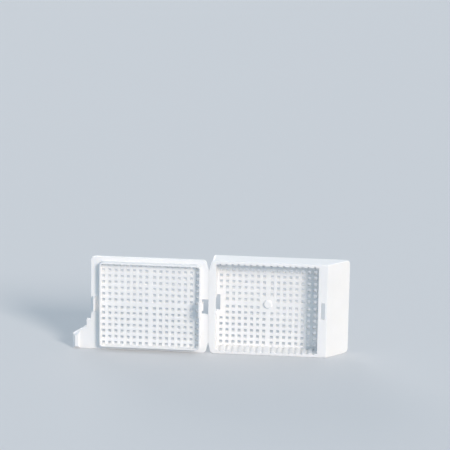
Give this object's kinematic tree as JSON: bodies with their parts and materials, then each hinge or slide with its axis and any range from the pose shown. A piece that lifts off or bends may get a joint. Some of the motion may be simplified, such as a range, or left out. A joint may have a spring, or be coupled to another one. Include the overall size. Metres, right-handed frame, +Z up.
{
  "type": "tissue cassette",
  "caption": "Flat rectangular perforated plastic tray with a slanted writing face and a perforated hinged snap-in lid, opened out and standing on its long edge.",
  "frame": {"origin": "on the standing plane, under the middle of the opened cassette's bounding box; the hinge line is 0.4 mm towards -X and 1.55 mm towards -Y of it", "axes": "+X along the cassette from the lid to the tray, +Y from the open mouth of the tray towards its back, +Z up, from the long edge it stands on"},
  "size_m": [0.0812, 0.0098, 0.0285],
  "materials": {
    "acetal": "satin"
  },
  "bodies": {
    "tray": {"tray": "acetal"},
    "lid": {"lid": "acetal"}
  },
  "joints": [
    {"name": "lid_hinge", "type": "hinge", "parent": "tray", "child": "lid", "pos_m": [-0.0004, -0.00155, 0.01425], "axis": [0, 0, 1], "range_deg": [0, 180]}
  ]
}
